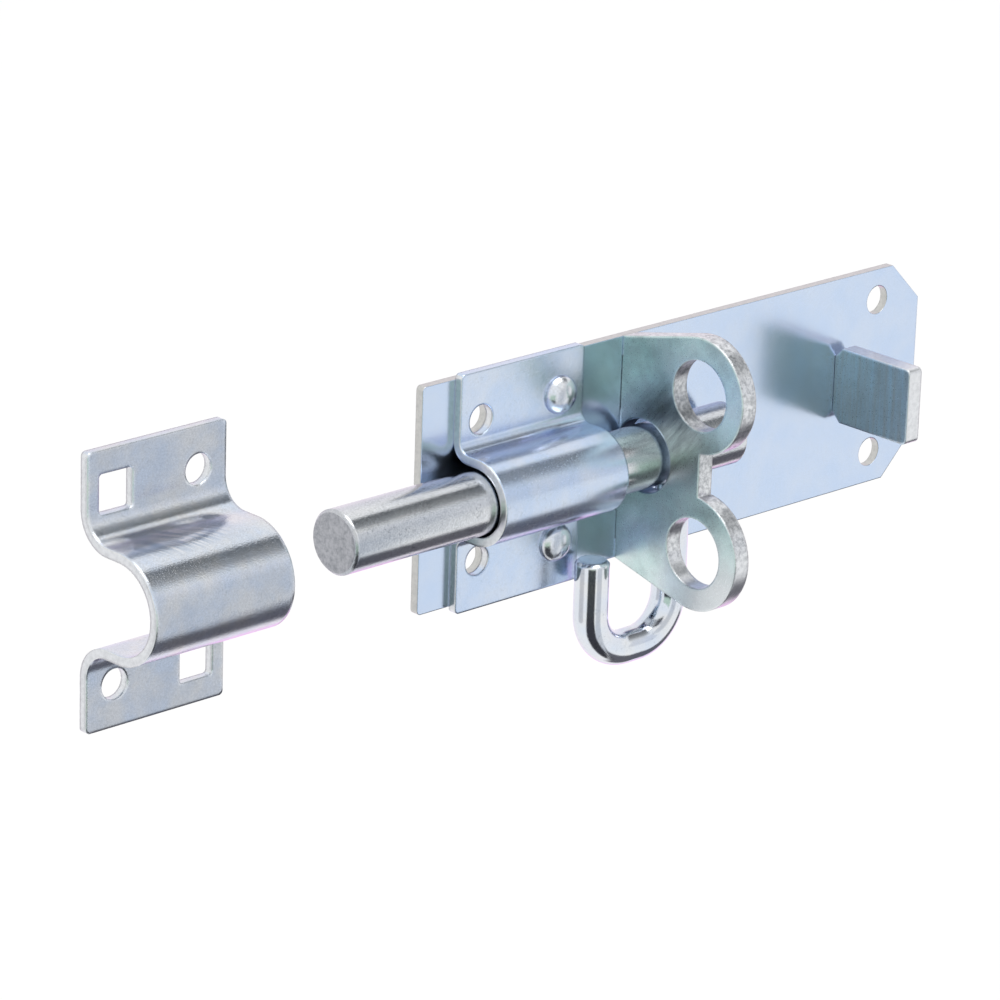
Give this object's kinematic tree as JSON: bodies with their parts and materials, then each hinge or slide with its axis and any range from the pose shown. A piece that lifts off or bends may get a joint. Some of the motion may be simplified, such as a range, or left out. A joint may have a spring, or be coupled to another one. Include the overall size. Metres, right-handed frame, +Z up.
{
  "type": "padbolt",
  "caption": "Zinc-plated padbolt: a round bolt slides in a guide on a back plate, its hook turns round a cross plate with padlock ears, and a separate bent keep receives it.",
  "frame": {"origin": "middle of the back plate's rear face, which lies on the door", "axes": "+X along the bolt towards its withdrawn end, +Y into the door, +Z up"},
  "size_m": [0.2411, 0.0382, 0.0771],
  "materials": {
    "plated_sheet": "bright zinc plating on steel",
    "plated_plate": "bright zinc plating on steel",
    "plated_bar": "bright zinc plating on steel",
    "plated_rivet": "bright zinc plating on steel"
  },
  "bodies": {
    "housing": {"back_plate": "plated_sheet", "bolt_guide": "plated_sheet", "guide_rivet_upper": "plated_rivet", "guide_rivet_lower": "plated_rivet", "lock_plate": "plated_plate", "end_stop": "plated_plate", "keep": "plated_sheet"},
    "bolt": {"bolt_rod": "plated_bar"},
    "hook": {"hook_handle": "plated_bar"}
  },
  "joints": [
    {"name": "bolt_slide", "type": "slide", "parent": "housing", "child": "bolt", "axis": [1, 0, 0], "range_m": [-0.0014, 0.0098]},
    {"name": "hook_turn", "type": "hinge", "parent": "bolt", "child": "hook", "pos_m": [0, -0.0093, 0], "axis": [-1, 0, 0], "range_deg": [0, 180]}
  ]
}
